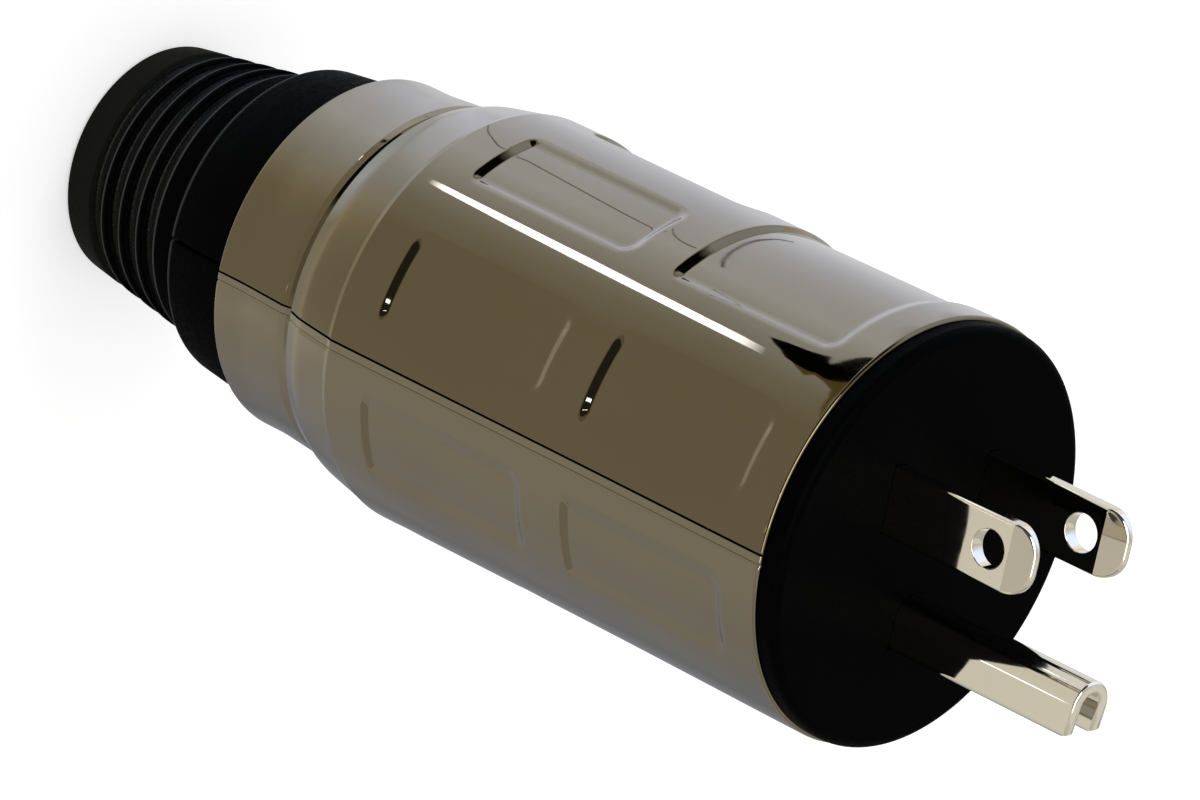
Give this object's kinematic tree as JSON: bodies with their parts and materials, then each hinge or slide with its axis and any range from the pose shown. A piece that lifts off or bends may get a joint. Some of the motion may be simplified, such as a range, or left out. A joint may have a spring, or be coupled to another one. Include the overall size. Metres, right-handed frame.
{
  "type": "power plug",
  "caption": "Straight-blade power plug with a two-part cast metal body, clamping collar and ribbed cord boot; flat blades and a folded ground pin.",
  "frame": {"origin": "centre of the boot's rear end, on the plug's axis", "axes": "+Z along the plug's axis towards the blades, +X from the line blade to the neutral blade, ground pin on the -Y side"},
  "size_m": [0.04, 0.04, 0.1198],
  "materials": {
    "shell_metal": "polished dark plating with a warm tint",
    "black_nylon": "fine matte grain",
    "carrier_nylon": "matte",
    "boot_rubber": "matte rubber, glossier in the grooves",
    "contact_plating": "polished nickel plating",
    "brass_strip": "plain brass",
    "steel": "zinc plated"
  },
  "bodies": {
    "root": {"upper_shell": "shell_metal", "lower_shell": "shell_metal", "shell_screws": "steel", "cord_boot": "boot_rubber", "upper_collar": "black_nylon", "lower_collar": "black_nylon", "face_insulator": "black_nylon", "terminal_carrier": "carrier_nylon", "carrier_screws": "steel", "line_blade": "contact_plating", "neutral_blade": "contact_plating", "ground_pin": "contact_plating", "bonding_strap": "brass_strip", "line_terminal": "brass_strip", "line_clamp_screw": "steel", "line_pressure_plate": "steel", "neutral_terminal": "brass_strip", "neutral_clamp_screw": "steel", "neutral_pressure_plate": "steel", "ground_terminal": "brass_strip", "ground_clamp_screw": "steel", "ground_pressure_plate": "steel"}
  },
  "joints": []
}
